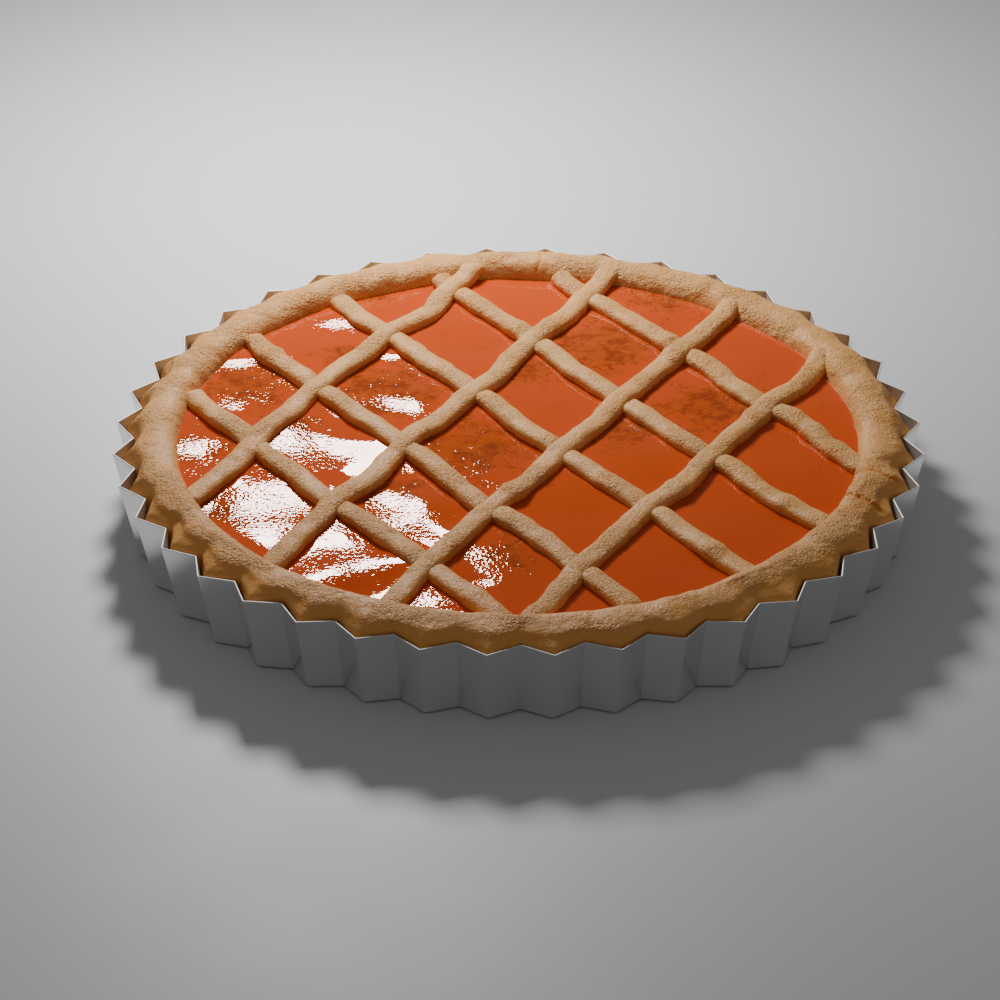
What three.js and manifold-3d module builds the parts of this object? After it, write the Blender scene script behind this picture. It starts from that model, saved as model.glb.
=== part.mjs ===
// Apricot jam tart in its fluted tin, millimetres, +Z up.
// Origin: centre of the tin's underside. The front of the tart is -Y.
import * as THREE from 'three';
import { mergeVertices } from 'three/addons/utils/BufferGeometryUtils.js';
import Module from 'manifold-3d';

// Fluted tin: a zigzag wall of folded sheet that leans outwards.
const FLUTES = 40;
const TIN_HEIGHT = 28.7;
const TIP_RADIUS = { base: 133.4, top: 140 };
const VALLEY_RADIUS = { base: 127.5, top: 133.3 };
const SHEET = 0.6;
const BASE_ROUND = 2.6;
const CORNER_TURNS = [0, 0.8]; // radians round the corner between base and wall
const FLUTE_SLANT = 1.18; // radial offset for one millimetre square to a flute's face

// Pastry shell: floor, fluted wall and the thick rolled rim that stands above the tin.
const GAP = 0.35;
const FLOOR_LEVEL = 9;
const CONTACT_LEVEL = 20; // the pastry fills the flutes up to here
const ROLL_OUTSIDE = [ // [radius, height] at a flute's tip and at a flute's valley
  { tip: [137.2, 25.5], valley: [131.3, 25.5] },
  { tip: [135.6, 28.8], valley: [131.5, 29.0] },
  { tip: [132.7, 30.7], valley: [130.2, 30.4] },
  { tip: [130.2, 32.0], valley: [128.8, 31.4] },
  { tip: [127.4, 33.1], valley: [126.9, 32.6] },
];
const ROLL_INSIDE = [ // [radius, height] over the crest and down to the jam
  [124.6, 33.5],
  [121.9, 33.1],
  [119.7, 31.7],
  [118.1, 29.4],
];
const HOLLOW_WALL = [ // [radius, height] of the hollow that holds the jam
  [113.6, 11.5],
  [109.8, FLOOR_LEVEL],
];
// Hand-rolled unevenness of the rim, at equal stations from the front anticlockwise.
const RIM_DRIFT = [1.0, 1.0, -0.8, -0.2, -0.6, 0.2, -0.6, -0.4, -0.4, -1.8, 0, -0.5, 0.2, 0.4, 0.6, 1.0];
const RIM_RISE = [0, 0.4, -0.3, 0.2, -0.2, 0.3, 0.1, -0.3, 0.2, 0.4, -0.2, 0.3, -0.3, 0.1, -0.4, 0.2];
const UNEVEN = { drift: [9, 28], rise: [28, 31.5], outside: [29.5, 32.5] }; // heights: none to full

// Jam filling.
const JAM_LEVEL = 27.8;
const JAM_GAP = 0.3;

// Lattice of pastry strips, pressed a little into the jam. The top layer lies over the under layer.
const TOP_DOUGH = { width: 7.6, low: 26.9, high: 31.1 };
const UNDER_DOUGH = { width: 7.4, low: 26.9, high: 30.6 };
const LAP_LEVEL = 28.9; // where the two layers meet at a crossing
const DOUGH_FORM = { foot: 0.9, belly: 0.4, shoulder: [0.86, 0.75], top: 0.42 }; // shares of its size
const STRIP_END_RADIUS = 119;
const STRIP_REACH = 2;
const STEP_LENGTH = 18; // between the sections of a strip
const CLEAR_HEIGHT = 60; // well above the whole tart
// ends: the two rim angles in degrees; sway: side steps of the hand-laid line at equal stations.
const TOP_STRIPS = [
  { ends: [-159.6, 98.2], sway: [-0.8, 0, 2.5, 2.4, 3.8, 3.2, 2.5, 2.1, -2.1, 0.1] },
  { ends: [-134.1, 74.3], sway: [1.2, 1.8, 3.0, 0.4, 1.9, 2.7, -0.1, 0.2, -1.6, 0.1, 0.1, -1.4, -0.2] },
  { ends: [-111.3, 49.8], sway: [1.8, 2.8, 2.8, 3.4, 2.3, 1.3, 2.4, 1.0, 1.6, 1.6, 0.7, 1.0, 0.1] },
  { ends: [-88.6, 26.4], sway: [0.2, 2.4, 2.1, 2.4, 1.9, -0.4, 0.5, 0.5, 0.3, 0.6, -2.1] },
];
const UNDER_STRIPS = [
  { ends: [165.6, -92.7], sway: [-0.5, 0.1, -1.8, -1.3, -2.5, -0.5, -0.2, 0.6, -0.3, 0.7] },
  { ends: [143.5, -71.9], sway: [-1.6, -0.8, -0.4, -0.1, 1.0, 1.2, 0.2, -0.8, 1.5, 2.0, 1.6, 1.6] },
  { ends: [123.3, -50.3], sway: [-1.7, 0.1, -0.7, -0.2, 0.2, -0.6, -1.8, -0.5, -1.3, -0.1, 0.2, -0.1, -0.4] },
  { ends: [104.2, -30.0], sway: [-0.4, -0.8, -0.2, -0.5, -2.7, -2.1, -2.4, -2.8, -2.8, -0.7, -2.7, -2.2] },
  { ends: [82.9, -10.1], sway: [-1.7, -0.2, 0.2, 1.6, 1.8, -0.1, 0.8, 2.6, 0] },
];

const COLUMNS = 2 * FLUTES;
const { lerp, smoothstep, degToRad } = THREE.MathUtils;
const wasm = await Module();
wasm.setup();

// ---- solids and meshes ------------------------------------------------------------------------

// Joins shared vertices and drops the slivers that collapse on the axis.
function weld(geometry) {
  const bare = geometry.clone();
  bare.deleteAttribute('normal');
  bare.deleteAttribute('uv');
  const merged = mergeVertices(bare, 1e-4);
  const index = merged.index.array;
  const kept = [];
  for (let i = 0; i < index.length; i += 3) {
    const [a, b, c] = [index[i], index[i + 1], index[i + 2]];
    if (a !== b && b !== c && c !== a) kept.push(a, b, c);
  }
  merged.setIndex(kept);
  return merged;
}

function toSolid(geometry) {
  const mesh = weld(geometry);
  const vertProperties = new Float32Array(mesh.attributes.position.array);
  const triVerts = new Uint32Array(mesh.index.array);
  return new wasm.Manifold(new wasm.Mesh({ numProp: 3, vertProperties, triVerts }));
}

function toGeometry(solid) {
  const mesh = solid.getMesh();
  const geometry = new THREE.BufferGeometry();
  geometry.setAttribute('position', new THREE.BufferAttribute(new Float32Array(mesh.vertProperties), 3));
  geometry.setIndex(new THREE.BufferAttribute(new Uint32Array(mesh.triVerts), 1));
  geometry.computeVertexNormals();
  return geometry;
}

// ---- round parts ------------------------------------------------------------------------------

// Turns rows about Z. Each row is a function of the column and its angle that returns the
// [radius, height] there, so that one profile can follow the flutes and the uneven rim.
function turned(rows) {
  const outline = rows.map((row) => new THREE.Vector2(...row(0, 0)));
  const geometry = new THREE.LatheGeometry(outline, COLUMNS);
  const position = geometry.attributes.position;
  for (let i = 0; i <= COLUMNS; i += 1) {
    const column = i % COLUMNS;
    const angle = (2 * Math.PI * column) / COLUMNS;
    rows.forEach((row, j) => {
      const [r, z] = row(column, angle);
      position.setXYZ(i * rows.length + j, r * Math.sin(angle), z, r * Math.cos(angle));
    });
  }
  geometry.rotateX(Math.PI / 2);
  geometry.computeVertexNormals();
  return geometry;
}

// Reads a list of equally spaced values round the tart, easing from one to the next.
function around(values, angle) {
  const station = (angle / (2 * Math.PI)) * values.length;
  const low = Math.floor(station) % values.length;
  const high = (low + 1) % values.length;
  return lerp(values[low], values[high], smoothstep(station - Math.floor(station), 0, 1));
}

const isTip = (column) => column % 2 === 1;
const onAxis = (z) => () => [0, z];

function tinRadius(column, z) {
  const wall = isTip(column) ? TIP_RADIUS : VALLEY_RADIUS;
  return lerp(wall.base, wall.top, z / TIN_HEIGHT);
}

// A row of the fluted wall, some depth inside the tin's outer face.
function wallRow(z, depth) {
  return (column) => [tinRadius(column, z) - FLUTE_SLANT * depth, z];
}

// Rows of the rounded corner between base and wall, some depth inside the tin's outer face.
function cornerRows(depth) {
  return CORNER_TURNS.map((turn) => {
    const inset = BASE_ROUND - (BASE_ROUND - FLUTE_SLANT * depth) * Math.sin(turn);
    const z = BASE_ROUND - (BASE_ROUND - depth) * Math.cos(turn);
    return (column) => [tinRadius(column, BASE_ROUND) - inset, z];
  });
}

function tinGeometry() {
  return turned([
    onAxis(0),
    ...cornerRows(0),
    wallRow(BASE_ROUND, 0),
    wallRow(TIN_HEIGHT, 0),
    wallRow(TIN_HEIGHT, SHEET),
    wallRow(BASE_ROUND, SHEET),
    ...cornerRows(SHEET).reverse(),
    onAxis(SHEET),
  ]);
}

// The rim's unevenness fades out towards the floor inside, and towards the tin's edge outside.
function unevenRow([r, z], angle, inwards = 0) {
  const drift = around(RIM_DRIFT, angle) * smoothstep(z, ...UNEVEN.drift);
  const rise = around(RIM_RISE, angle) * smoothstep(z, ...UNEVEN.rise);
  return [r + drift - inwards, z + rise];
}

function rollOutsideRow({ tip, valley }) {
  return (column, angle) => {
    const [r, z] = isTip(column) ? tip : valley;
    const share = smoothstep(z, ...UNEVEN.outside);
    return [r + share * around(RIM_DRIFT, angle), z + share * around(RIM_RISE, angle)];
  };
}

function shellGeometry() {
  const depth = SHEET + GAP;
  return turned([
    onAxis(depth),
    ...cornerRows(depth),
    wallRow(BASE_ROUND, depth),
    wallRow(CONTACT_LEVEL, depth),
    ...ROLL_OUTSIDE.map(rollOutsideRow),
    ...[...ROLL_INSIDE, ...HOLLOW_WALL].map((point) => (column, angle) => unevenRow(point, angle)),
    onAxis(FLOOR_LEVEL),
  ]);
}

// The free space inside the rim, a gap smaller than the hollow: it trims the strips and the jam.
function hollowSolid() {
  const wall = [...ROLL_INSIDE.slice(1), ...HOLLOW_WALL].reverse();
  const floor = FLOOR_LEVEL + JAM_GAP;
  return toSolid(turned([
    onAxis(floor),
    ...wall.map(([r, z]) => (column, angle) => unevenRow([r, Math.max(z, floor)], angle, JAM_GAP)),
    onAxis(wall.at(-1)[1]),
  ]));
}

// ---- lattice ----------------------------------------------------------------------------------

function rimPoint(degrees) {
  const angle = degToRad(degrees);
  return new THREE.Vector3(Math.cos(angle), Math.sin(angle), 0).multiplyScalar(STRIP_END_RADIUS);
}

// Centreline of a strip: straight between its two ends, then swayed at each station.
function stripPath({ ends, sway }) {
  const from = rimPoint(ends[0]);
  const to = rimPoint(ends[1]);
  const along = to.clone().sub(from).normalize();
  const across = new THREE.Vector3(-along.y, along.x, 0);
  const offsets = [0, ...sway, 0];
  const points = offsets.map((side, i) => from.clone()
    .lerp(to, i / (offsets.length - 1))
    .addScaledVector(across, side));
  points.unshift(points[0].clone().addScaledVector(along, -STRIP_REACH));
  points.push(points.at(-1).clone().addScaledVector(along, STRIP_REACH));
  return new THREE.CatmullRomCurve3(points);
}

// Sweeps a section, given as [across, up] pairs, along a strip's path.
function sweep(strip, section) {
  const path = stripPath(strip);
  const shape = new THREE.Shape(section.map(([across, up]) => new THREE.Vector2(-up, across)));
  return toSolid(new THREE.ExtrudeGeometry(shape, {
    steps: Math.round(path.getLength() / STEP_LENGTH),
    bevelEnabled: false,
    extrudePath: path,
  }));
}

// Flat underneath, with soft shoulders and a slightly domed top.
function doughSection(dough, clearance) {
  const half = dough.width / 2 + clearance;
  const low = dough.low - clearance;
  const rise = dough.high + clearance - low;
  const { foot, belly, shoulder, top } = DOUGH_FORM;
  const rightSide = [[foot, 0], [1, belly], shoulder, [top, 1]];
  const leftSide = rightSide.map(([across, up]) => [-across, up]).reverse();
  return [...rightSide, ...leftSide].map(([across, up]) => [across * half, low + up * rise]);
}

function slotSection(dough, low, high) {
  const half = dough.width / 2 + JAM_GAP;
  return [[-half, low], [half, low], [half, high], [-half, high]];
}

// Strips of one layer, trimmed by the rim and cut out where the other layer crosses them.
function layer(strips, dough, slots, hollow) {
  return strips.map((strip) => slots
    .reduce((solid, slot) => solid.subtract(slot), sweep(strip, doughSection(dough, 0)))
    .intersect(hollow));
}

// ---- assembly ---------------------------------------------------------------------------------

const tinMetal = new THREE.MeshStandardMaterial({ color: 0x9b9c9e, roughness: 0.42, metalness: 0.9 });
const bakedPastry = new THREE.MeshStandardMaterial({ color: 0xd2a170, roughness: 0.78, metalness: 0 });
const apricotJam = new THREE.MeshStandardMaterial({ color: 0xc2491a, roughness: 0.18, metalness: 0 });

const tart = new THREE.Group();

function add(name, geometry, material) {
  const mesh = new THREE.Mesh(geometry, material.clone());
  mesh.name = name;
  tart.add(mesh);
}

const hollow = hollowSolid();
const lap = GAP / 2;
const slotsUnder = UNDER_STRIPS.map((s) => sweep(s, slotSection(UNDER_DOUGH, 0, LAP_LEVEL + lap)));
const slotsOver = TOP_STRIPS.map((s) => sweep(s, slotSection(TOP_DOUGH, LAP_LEVEL - lap, CLEAR_HEIGHT)));
const topLayer = layer(TOP_STRIPS, TOP_DOUGH, slotsUnder, hollow);
const underLayer = layer(UNDER_STRIPS, UNDER_DOUGH, slotsOver, hollow);

const jamBox = new THREE.BoxGeometry(2 * TIP_RADIUS.top, 2 * TIP_RADIUS.top, 2 * JAM_LEVEL);
const belowJamLevel = toSolid(jamBox);
const grooves = [
  ...TOP_STRIPS.map((s) => sweep(s, doughSection(TOP_DOUGH, JAM_GAP))),
  ...UNDER_STRIPS.map((s) => sweep(s, doughSection(UNDER_DOUGH, JAM_GAP))),
];
const jam = grooves.reduce((solid, groove) => solid.subtract(groove), hollow.intersect(belowJamLevel));

add('tart_tin', tinGeometry(), tinMetal);
add('pastry_shell', shellGeometry(), bakedPastry);
add('jam_filling', toGeometry(jam), apricotJam);
topLayer.forEach((solid, i) => add(`lattice_top_${i + 1}`, toGeometry(solid), bakedPastry));
underLayer.forEach((solid, i) => add(`lattice_under_${i + 1}`, toGeometry(solid), bakedPastry));

export default tart;
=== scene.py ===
# %% [markdown]
# # Apricot jam tart in its fluted tin
# A jam tart is four things that touch each other: a thin tin that was folded into flutes, a shell
# of shortcrust pastry that was pressed into it and rolled over at the rim, a filling of set jam,
# and a lattice of dough strips that was laid on top by hand. Each is made here in its own cells,
# in the order in which a baker puts the tart together. Lengths are in millimetres, and MM turns
# them into Blender's metres. The tart stands on Z = 0 with its front towards -Y.

# %% Load the measured model as the frame
import math

import bmesh
import bpy
import numpy as np
from mathutils import Matrix, Vector


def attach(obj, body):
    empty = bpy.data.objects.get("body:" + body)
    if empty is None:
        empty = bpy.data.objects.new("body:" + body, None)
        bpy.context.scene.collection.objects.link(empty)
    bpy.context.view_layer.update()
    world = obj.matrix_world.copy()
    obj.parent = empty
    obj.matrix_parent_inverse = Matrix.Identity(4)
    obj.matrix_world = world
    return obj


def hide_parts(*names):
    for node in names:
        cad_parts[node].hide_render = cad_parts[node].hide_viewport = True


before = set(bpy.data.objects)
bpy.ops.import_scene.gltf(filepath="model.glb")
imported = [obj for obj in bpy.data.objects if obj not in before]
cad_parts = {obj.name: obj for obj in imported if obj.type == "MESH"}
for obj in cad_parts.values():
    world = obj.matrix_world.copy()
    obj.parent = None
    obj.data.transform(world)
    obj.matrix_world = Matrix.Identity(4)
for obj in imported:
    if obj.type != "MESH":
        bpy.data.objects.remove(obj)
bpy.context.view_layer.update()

MM = 0.001
print("nodes:", ", ".join(sorted(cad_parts)))

# %% [markdown]
# ## Camera
# The picture was taken with a long lens from about 31 degrees above the table. A long lens far
# away keeps the far rim of the tart nearly as wide as the near one, so the lens matters as much
# as the direction. The camera is put on a sphere round the tart, aimed at a point on the table,
# and turned a hair about its own axis. Its numbers were fitted to the fluted edge in the picture.

# %% Place the camera
CAMERA = {"azimuth": -0.4043, "elevation": 30.9324, "distance": 1755.72, "roll": 0.0813, "lens": 181.7}
CAMERA_AIM = (-6.412, 6.183, 0.0)


def on_sphere(azimuth, elevation, distance):
    """The point at a distance from the origin. Azimuth 0 is in front of the tart, at -Y."""
    flat = distance * math.cos(math.radians(elevation))
    turn = math.radians(azimuth)
    height = distance * math.sin(math.radians(elevation))
    return Vector((flat * math.sin(turn), -flat * math.cos(turn), height))


def aimed(place, target):
    """A world matrix at place whose -Z axis looks at target, both in millimetres."""
    looking = (Vector(target) - Vector(place)).to_track_quat("-Z", "Y")
    return Matrix.Translation(Vector(place) * MM) @ looking.to_matrix().to_4x4()


camera_place = on_sphere(CAMERA["azimuth"], CAMERA["elevation"], CAMERA["distance"])
bpy.ops.object.camera_add()
camera = bpy.context.object
camera.name = "photo_camera"
camera_roll = Matrix.Rotation(math.radians(CAMERA["roll"]), 4, "Z")
camera.matrix_world = aimed(camera_place, CAMERA_AIM) @ camera_roll
camera.data.sensor_width = 36
camera.data.lens = CAMERA["lens"]
camera.data.clip_end = 100
bpy.context.scene.camera = camera
print("camera at", [round(c, 1) for c in camera_place], "mm")

# %% [markdown]
# ## Light
# One soft lamp hangs close behind the tart, on the left. It makes the shadow that falls towards
# the viewer with a toothed edge, and the broken white patches on the jam. Its place and size were
# fitted to the shadow and the shades of the floor in the picture. Everything else is lit by an
# even grey room, which a world background gives without any more lamps.

# %% Lamp and room
LAMP_PLACE = (-83.9, 288.1, 269.7)
LAMP_AIM = (-30.7, 143.7, 0.0)
LAMP_SIZE = 84.3
LAMP_POWER = 1.71
ROOM_GREY = 0.142

bpy.ops.object.light_add(type="AREA")
lamp = bpy.context.object
lamp.name = "soft_lamp"
lamp.matrix_world = aimed(LAMP_PLACE, LAMP_AIM)
lamp.data.shape = "SQUARE"
lamp.data.size = LAMP_SIZE * MM
lamp.data.energy = LAMP_POWER

room = bpy.data.worlds.new("grey_room")
bpy.context.scene.world = room
room.use_nodes = True
room.node_tree.nodes["Background"].inputs["Color"].default_value = (1, 1, 1, 1)
room.node_tree.nodes["Background"].inputs["Strength"].default_value = ROOM_GREY
print("lamp at", LAMP_PLACE, "mm,", LAMP_POWER, "W")

# %% [markdown]
# ## Small tools for modelling
# The same few moves come back for every piece: select one object, pick vertices or edges in edit
# mode by where they are, read and write all the vertices at once, and add and apply a modifier.
# Vertices are picked by a question about their place, because a script can't click on them.


# %% Selecting
def select_only(piece):
    """Leaves one object selected and active, so that an operator acts on nothing else."""
    bpy.ops.object.select_all(action="DESELECT")
    piece.select_set(True)
    bpy.context.view_layer.objects.active = piece


def edit(piece):
    select_only(piece)
    bpy.ops.object.mode_set(mode="EDIT")


def leave_edit():
    bpy.ops.object.mode_set(mode="OBJECT")


def pick(piece, wanted, kind="VERT"):
    """In edit mode, selects the vertices, edges or faces to which wanted() says yes."""
    bpy.ops.mesh.select_mode(type=kind)
    bpy.ops.mesh.select_all(action="DESELECT")
    mesh = bmesh.from_edit_mesh(piece.data)
    parts = {"VERT": mesh.verts, "EDGE": mesh.edges, "FACE": mesh.faces}[kind]
    parts.index_update()
    for part in parts:
        if wanted(part):
            part.select_set(True)
    mesh.select_flush_mode()
    bmesh.update_edit_mesh(piece.data)


def radius_of(place):
    return math.hypot(place.x, place.y) / MM


# %% Reading and moving many vertices
def places(piece):
    """All vertices of a piece in millimetres, a row for each."""
    flat = np.empty(3 * len(piece.data.vertices))
    piece.data.vertices.foreach_get("co", flat)
    return flat.reshape(-1, 3) / MM


def move_to(piece, spots):
    piece.data.vertices.foreach_set("co", (spots * MM).ravel())
    piece.data.update()


def normals(piece):
    flat = np.empty(3 * len(piece.data.vertices))
    piece.data.vertices.foreach_get("normal", flat)
    return flat.reshape(-1, 3)


def paint(piece, name, values):
    """Stores one number for each vertex, which a material can read by its name."""
    layer = piece.data.attributes.new(name, "FLOAT", "POINT")
    layer.data.foreach_set("value", np.asarray(values, dtype=np.float32))


def rise(value, low, high):
    """0 below low, 1 above high, and a soft slope between. Low may be the larger one."""
    share = np.clip((np.asarray(value) - low) / (high - low), 0, 1)
    return share * share * (3 - 2 * share)


def hump(value, half_width):
    """1 at zero, falling off softly to nearly 0 at twice the half width."""
    return np.exp(-((np.asarray(value) / half_width) ** 2))


# %% Modifiers
def apply_modifier(piece, kind, **settings):
    select_only(piece)
    modifier = piece.modifiers.new(kind.lower(), kind)
    for name, value in settings.items():
        setattr(modifier, name, value)
    bpy.ops.object.modifier_apply(modifier=modifier.name)


def relief(piece, size, height, weights=None):
    """Swells and sinks the surface along its normals by a cloud pattern.

    size: how wide a lump is. height: the full range. weights: a share for each vertex.
    """
    clouds = bpy.data.textures.new(f"{piece.name}_clouds_{size}", "CLOUDS")
    clouds.noise_scale = size * MM
    clouds.noise_basis = "IMPROVED_PERLIN"
    clouds.noise_depth = 1
    group = ""
    if weights is not None:
        group = piece.vertex_groups.new(name="relief").name
        for level in np.unique(np.round(weights, 1)):
            members = np.nonzero(np.round(weights, 1) == level)[0].tolist()
            piece.vertex_groups[group].add(members, float(level), "REPLACE")
    apply_modifier(piece, "DISPLACE", texture=clouds, texture_coords="LOCAL", mid_level=0.5,
                   strength=height * MM, direction="NORMAL", vertex_group=group)
    if group:
        piece.vertex_groups.clear()


def smooth(piece, angle=180):
    select_only(piece)
    bpy.ops.object.shade_smooth_by_angle(angle=math.radians(angle))


def report(piece):
    triangles = sum(len(face.vertices) - 2 for face in piece.data.polygons)
    size = ", ".join(f"{d / MM:.1f}" for d in piece.dimensions)
    print(f"{piece.name}: {triangles} triangles, {size} mm")


# %% [markdown]
# ## Small tools for materials
# Materials are node graphs. One helper adds a node and fills or links its sockets in the same
# call, which keeps each material short enough to read. Patterns are placed by Object coordinates,
# so they have a real size: a noise scale of 1000 in metres is a grain of about one millimetre.


# %% Material helpers
def new_material(name, **finish):
    """A Principled material with plain values set on the shader's own sockets."""
    material = bpy.data.materials.new(name)
    material.use_nodes = True
    shader = material.node_tree.nodes["Principled BSDF"]
    for socket, value in finish.items():
        shader.inputs[socket.replace("_", " ")].default_value = value
    return material, shader


def add(material, kind, settings=None, **sockets):
    """Adds a node. A socket gets a plain value, or a link if the value is another node's output.

    A socket is named by its name, or by its number: _0 is the first.
    """
    node = material.node_tree.nodes.new("ShaderNode" + kind)
    for name, value in (settings or {}).items():
        setattr(node, name, value)
    for name, value in sockets.items():
        key = int(name[1:]) if name[0] == "_" else name.replace("_", " ")
        fill(material, node.inputs[key], value)
    return node.outputs[0]


def fill(material, socket, value):
    if isinstance(value, bpy.types.NodeSocket):
        material.node_tree.links.new(value, socket)
    else:
        socket.default_value = value


def object_place(material):
    node = material.node_tree.nodes.new("ShaderNodeTexCoord")
    return node.outputs["Object"]


def noise(material, grain, detail=2.0, roughness=0.5, distortion=0.0):
    """Cloudy noise between 0 and 1 whose lumps are about grain millimetres wide."""
    return add(material, "TexNoise", Vector=object_place(material), Scale=1 / (grain * MM),
               Detail=detail, Roughness=roughness, Distortion=distortion)


def between(material, value, low, high, start=0.0, end=1.0):
    """Turns a value's stretch from low to high into a soft slope from start to end."""
    return add(material, "MapRange", {"interpolation_type": "SMOOTHSTEP"}, Value=value,
               From_Min=low, From_Max=high, To_Min=start, To_Max=end)


def blend(material, share, first, second):
    """The first colour where share is 0, the second where it is 1."""
    return add(material, "MixRGB", Fac=share, Color1=first, Color2=second)


def calc(material, operation, first, second):
    return add(material, "Math", {"operation": operation}, _0=first, _1=second)


def attribute(material, name):
    node = material.node_tree.nodes.new("ShaderNodeAttribute")
    node.attribute_name = name
    return node.outputs["Fac"]


def bump(material, height, distance, under=None, strength=1.0):
    """Fine relief for the light only. under is the bump that this one lies on."""
    node = material.node_tree.nodes.new("ShaderNodeBump")
    fill(material, node.inputs["Height"], height)
    node.inputs["Distance"].default_value = distance * MM
    node.inputs["Strength"].default_value = strength
    if under is not None:
        fill(material, node.inputs["Normal"], under)
    return node.outputs["Normal"]


# %% [markdown]
# ## The floor
# The tart stands on a plain pale sheet that is far larger than the picture. It is a single plane.
# Its finish is a matt paint with a trace of unevenness in its gloss, so that it isn't a dead
# flat grey.

# %% Floor
FLOOR_SIZE = 6000
FLOOR_DROP = 0.3  # keeps the floor clear of the tin's underside
FLOOR_GLOSS = (0.49, 0.51)
FLOOR_CLOUD = 60.0

bpy.ops.object.select_all(action="DESELECT")
bpy.ops.mesh.primitive_plane_add(size=FLOOR_SIZE * MM, location=(0, 0, -FLOOR_DROP * MM))
floor = bpy.context.object
floor.name = "floor"

floor_paint, floor_shader = new_material("pale_floor", Base_Color=(0.8, 0.8, 0.8, 1))
floor_shader.inputs["Specular IOR Level"].default_value = 0.77
gloss = between(floor_paint, noise(floor_paint, FLOOR_CLOUD), 0.3, 0.7, *FLOOR_GLOSS)
fill(floor_paint, floor_shader.inputs["Roughness"], gloss)
floor.data.materials.append(floor_paint)
report(floor)

# %% [markdown]
# ## The flutes
# The tin has 40 flutes. Seen from above its wall is a zigzag: a tip that points outwards, then a
# valley that points inwards, 80 folds in all with a flat facet between each two. The pastry copies
# this zigzag, so both start from the same ring of 80 points. A ring is grown upwards row by row:
# the open edge is extruded, then its tips and its valleys are each brought to their own radius
# and height. That is how the wall can lean outwards and change its depth on the way.

# %% Rows of a fluted ring
FLUTES = 40
COLUMNS = 2 * FLUTES
TIN_HEIGHT = 28.7
TIP_RADIUS = {"base": 133.4, "top": 140.0}
VALLEY_RADIUS = {"base": 127.5, "top": 133.3}
FLUTE_SLANT = 1.18  # radial offset for one millimetre square to a facet
SAME_PLACE = 0.2  # lengths that differ by less than this belong to one ring


def column_of(place):
    """Which fold of the zigzag a point lies on, from the front anticlockwise. Tips are odd."""
    return round(math.atan2(place.x, -place.y) / (2 * math.pi) * COLUMNS) % COLUMNS


def shape_row(piece, tip, valley):
    """Brings the tips and valleys of the selected ring each to their own (radius, height)."""
    mesh = bmesh.from_edit_mesh(piece.data)
    mesh.verts.index_update()
    ring = {v.index: column_of(v.co) % 2 for v in mesh.verts if v.select}
    for parity, (radius, height) in ((1, tip), (0, valley)):
        members = {index for index, side in ring.items() if side == parity}
        pick(piece, lambda v: v.index in members)
        mesh = bmesh.from_edit_mesh(piece.data)
        now = next(v.co for v in mesh.verts if v.select)
        scale = radius / radius_of(now)
        bpy.ops.transform.translate(value=(0, 0, height * MM - now.z))
        bpy.ops.transform.resize(value=(scale, scale, 1), center_override=(0, 0, 0))
    pick(piece, lambda v: v.index in ring)


def grow_ring(name, rows):
    """A zigzag ring of 80 columns, extruded through rows of (tip, valley). Ends in edit mode."""
    bpy.ops.object.select_all(action="DESELECT")
    bpy.ops.mesh.primitive_circle_add(vertices=COLUMNS, radius=rows[0][0][0] * MM)
    piece = bpy.context.object
    piece.name = name
    edit(piece)
    bpy.ops.mesh.select_all(action="SELECT")
    shape_row(piece, *rows[0])
    for tip, valley in rows[1:]:
        bpy.ops.mesh.extrude_region_move()
        shape_row(piece, tip, valley)
    return piece


def close_end(piece, radius, height):
    """Fills the ring whose tips are at this radius and height with one flat face."""
    def in_ring(vertex):
        level = abs(vertex.co.z / MM - height) < SAME_PLACE
        return level and radius_of(vertex.co) < radius + SAME_PLACE

    pick(piece, in_ring)
    bpy.ops.mesh.edge_face_add()


def is_fold(edge):
    """An edge that runs up a tip or a valley, not along a facet."""
    return column_of(edge.verts[0].co) == column_of(edge.verts[1].co)


def wall_row(height, depth=0.0):
    """The (tip, valley) row of the leaning wall, some depth inside the tin's outer face."""
    share = height / TIN_HEIGHT
    row = []
    for wall in (TIP_RADIUS, VALLEY_RADIUS):
        radius = wall["base"] + share * (wall["top"] - wall["base"])
        row.append((radius - FLUTE_SLANT * depth, height))
    return tuple(row)


def corner_row(turn, round_size, depth=0.0):
    """A row of the rounded corner between base and wall. turn runs from 0 to a quarter turn."""
    tip, valley = wall_row(round_size)
    inset = round_size - (round_size - FLUTE_SLANT * depth) * math.sin(turn)
    height = round_size - (round_size - depth) * math.cos(turn)
    return (tip[0] - inset, height), (valley[0] - inset, height)


# %% [markdown]
# ## The tin
# The real tin is pressed from sheet about half a millimetre thick. It is made the same way here:
# the outer face first, with the small round between base and wall, then Solidify gives the sheet
# its thickness inwards, and a fine bevel eases the folds and rounds the cut edge at the top.
# Weighted normals keep the facets flat to the light, which is what makes sheet metal look folded.

# %% Tin
TIN_ROUND = 1.2
TIN_CORNER_TURNS = [0, 0.45, 0.9, 1.3]
SHEET = 0.6
FOLD_EASE = 0.2
RIM_EASE = 0.27

tin_rows = [corner_row(turn, TIN_ROUND) for turn in TIN_CORNER_TURNS]
tin_rows += [wall_row(TIN_HEIGHT)]
tin = grow_ring("fluted_tin", tin_rows)
close_end(tin, tin_rows[0][0][0], 0)
bpy.ops.mesh.select_all(action="SELECT")
bpy.ops.mesh.normals_make_consistent(inside=False)
leave_edit()
apply_modifier(tin, "SOLIDIFY", thickness=SHEET * MM, offset=-1, use_even_offset=True)
spots = places(tin)
spots[spots[:, 2] > TIN_HEIGHT - 0.1, 2] = TIN_HEIGHT  # the cut edge is level
move_to(tin, spots)
edit(tin)
pick(tin, is_fold, "EDGE")
bpy.ops.mesh.bevel(offset=FOLD_EASE * MM, segments=2, affect="EDGES")
leave_edit()


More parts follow.
